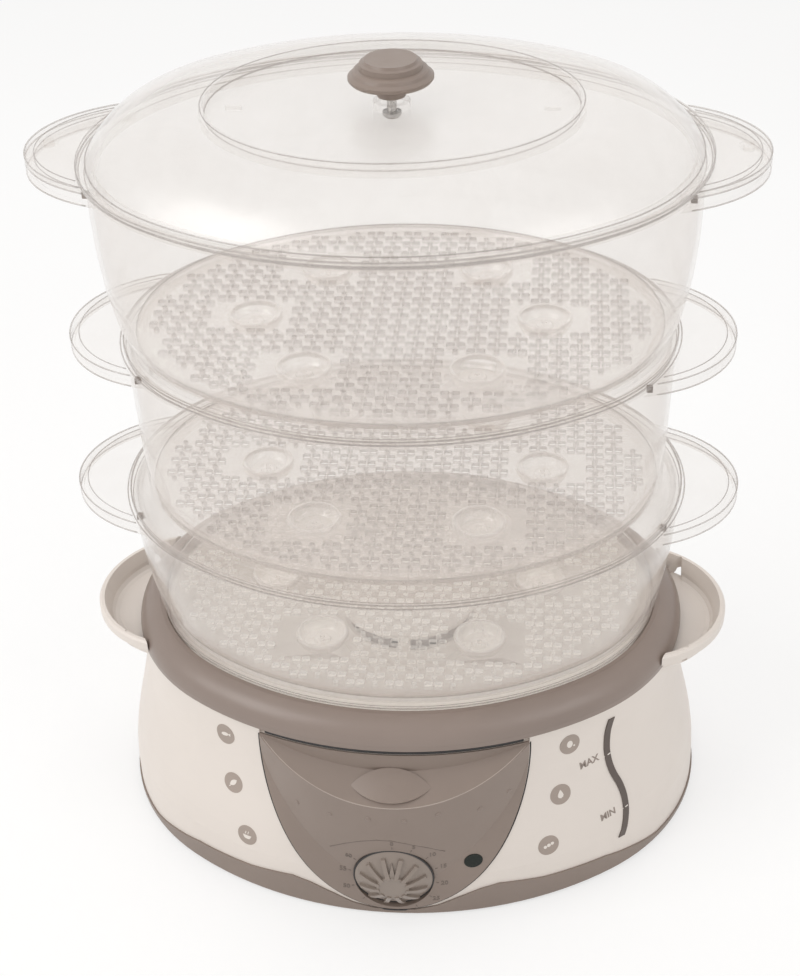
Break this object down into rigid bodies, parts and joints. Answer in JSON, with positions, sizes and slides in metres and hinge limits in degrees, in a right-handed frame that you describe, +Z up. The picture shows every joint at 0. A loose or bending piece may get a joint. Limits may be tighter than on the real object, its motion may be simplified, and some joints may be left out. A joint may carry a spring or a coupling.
{
  "type": "electric food steamer",
  "caption": "Oval electric food steamer: heated base with timer knob and side fillers, stacked clear trays with lift-out floors and a domed clear lid.",
  "frame": {"origin": "on the table surface, under the middle of the oval base and close to the middle of the whole outline", "axes": "+X along the long axis towards the right filler as seen from the front, -Y towards the timer knob, +Z up"},
  "size_m": [0.317, 0.2462, 0.3775],
  "materials": {
    "cream_plastic": "fine satin",
    "white_plastic": "matte",
    "taupe_plastic": "satin",
    "clear_plastic": "clear, polished",
    "gauge_plastic": "gloss",
    "lamp_plastic": "gloss, translucent",
    "lamp_glass": "clear",
    "dark_plastic": "matte",
    "rubber": "matte",
    "steel": "plated",
    "cast_aluminium": "cast, satin"
  },
  "bodies": {
    "base": {"housing": "cream_plastic", "skirt": "taupe_plastic", "bottom_plate": "cream_plastic", "foot_front_left": "rubber", "foot_front_right": "rubber", "foot_back_left": "rubber", "foot_back_right": "rubber", "bottom_screws": "steel", "panel": "taupe_plastic", "timer_unit": "white_plastic", "lamp_lens": "lamp_plastic", "lamp_bulb": "lamp_glass", "gauge_window": "gauge_plastic", "cord_gland": "rubber", "water_tank": "cream_plastic", "heater": "cast_aluminium", "heater_seal": "rubber", "thermal_cutout": "dark_plastic"},
    "timer": {"timer_knob": "taupe_plastic", "timer_shaft": "steel"},
    "steam_ring": {"steam_ring": "cream_plastic"},
    "drip_tray": {"collar": "taupe_plastic", "drip_tray": "white_plastic", "chimney": "white_plastic", "steam_cap": "white_plastic"},
    "tray_lower": {"tray_lower": "clear_plastic"},
    "floor_lower": {"floor_lower": "clear_plastic"},
    "tray_middle": {"tray_middle": "clear_plastic"},
    "floor_middle": {"floor_middle": "clear_plastic"},
    "tray_upper": {"tray_upper": "clear_plastic"},
    "floor_upper": {"floor_upper": "clear_plastic"},
    "lid": {"lid": "clear_plastic", "lid_knob": "taupe_plastic", "knob_screw": "steel"}
  },
  "joints": [
    {"name": "timer_turn", "type": "hinge", "parent": "base", "child": "timer", "pos_m": [0, -0.11859, 0.0245], "axis": [0, 0.9945, 0.1045], "range_deg": [0, 300]},
    {"name": "steam_ring_lift", "type": "slide", "parent": "base", "child": "steam_ring", "axis": [0, 0, 1], "range_m": [0, 0.01]},
    {"name": "drip_tray_lift", "type": "slide", "parent": "base", "child": "drip_tray", "axis": [0, 0, 1], "range_m": [0, 0.06]},
    {"name": "tray_lower_lift", "type": "slide", "parent": "drip_tray", "child": "tray_lower", "axis": [0, 0, 1], "range_m": [0, 0.08]},
    {"name": "floor_lower_lift", "type": "slide", "parent": "tray_lower", "child": "floor_lower", "axis": [0, 0, 1], "range_m": [0, 0.045]},
    {"name": "tray_middle_lift", "type": "slide", "parent": "tray_lower", "child": "tray_middle", "axis": [0, 0, 1], "range_m": [0, 0.08]},
    {"name": "floor_middle_lift", "type": "slide", "parent": "tray_middle", "child": "floor_middle", "axis": [0, 0, 1], "range_m": [0, 0.045]},
    {"name": "tray_upper_lift", "type": "slide", "parent": "tray_middle", "child": "tray_upper", "axis": [0, 0, 1], "range_m": [0, 0.08]},
    {"name": "floor_upper_lift", "type": "slide", "parent": "tray_upper", "child": "floor_upper", "axis": [0, 0, 1], "range_m": [0, 0.045]},
    {"name": "lid_lift", "type": "slide", "parent": "tray_upper", "child": "lid", "axis": [0, 0, 1], "range_m": [0, 0.09]}
  ]
}
